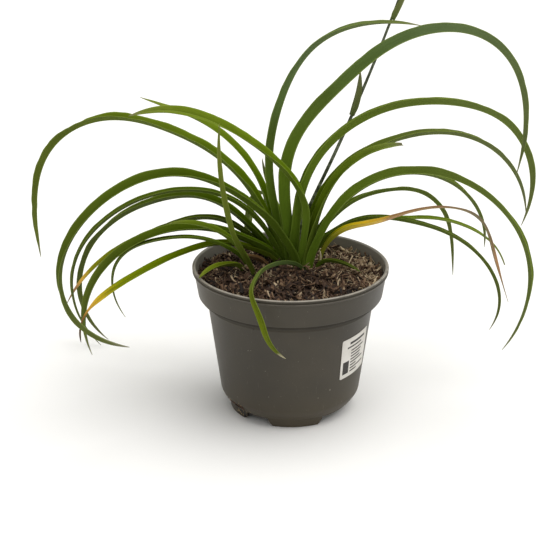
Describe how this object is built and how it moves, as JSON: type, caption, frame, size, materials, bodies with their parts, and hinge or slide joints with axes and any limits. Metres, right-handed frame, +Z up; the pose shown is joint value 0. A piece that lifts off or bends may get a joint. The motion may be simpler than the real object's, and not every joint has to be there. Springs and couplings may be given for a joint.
{
  "type": "potted daylily",
  "caption": "Young daylily with long keeled arching leaves in fans and a leaning flower stalk in bud, in a round nursery pot with a label.",
  "frame": {"origin": "middle of the bounding box's floor, on the surface the pot stands on", "axes": "+Z up along the pot, +X to the right and -Y to the front in the pictured view; the leaves spread furthest along X"},
  "size_m": [0.5224, 0.32, 0.4355],
  "materials": {
    "pot": "satin",
    "soil": "matte",
    "label": "satin",
    "leaf_green": "satin",
    "leaf_dark_green": "satin",
    "leaf_bright_green": "satin",
    "leaf_grey_green": "satin",
    "leaf_yellow_green": "satin",
    "leaf_yellow": "satin",
    "dry_sheath": "matte",
    "stalk": "satin",
    "bract": "satin",
    "bud": "satin"
  },
  "bodies": {
    "root": {"pot": "pot", "soil": "soil", "label": "label", "leaf_front_tall": "leaf_bright_green", "leaf_front_crossing": "leaf_green", "leaf_blunt": "leaf_bright_green", "leaf_right_tucked": "leaf_green", "leaf_right_long": "leaf_green", "leaf_left_high": "leaf_green", "leaf_left_slim": "leaf_dark_green", "leaf_left_droop": "leaf_green", "leaf_left_yellowing": "leaf_yellow_green", "leaf_right_broad": "leaf_green", "leaf_right_arch": "leaf_green", "leaf_back_left_long": "leaf_green", "leaf_back_left_yellow_end": "leaf_dark_green", "leaf_right_tall": "leaf_green", "leaf_back_right_arch": "leaf_grey_green", "leaf_back_right_short": "leaf_dark_green", "leaf_right_pale": "leaf_bright_green", "leaf_right_low": "leaf_dark_green", "leaf_small_right": "leaf_green", "leaf_over_lip": "leaf_green", "leaf_dying": "leaf_yellow", "leaf_back_left_high": "leaf_green", "leaf_side_upright": "leaf_bright_green", "leaf_side_arch": "leaf_bright_green", "leaf_side_thin": "leaf_green", "leaf_side_short": "leaf_yellow_green", "leaf_back_stub": "leaf_grey_green", "leaf_back_drooping": "leaf_green", "leaf_back_low": "leaf_dark_green", "dry_sheath_brown": "dry_sheath", "dry_sheath_pale": "dry_sheath", "flower_stalk": "stalk", "bract_lower": "bract", "bract_upper": "bract", "bud_right": "bud", "bud_left": "bud", "bud_top": "bud"}
  },
  "joints": []
}
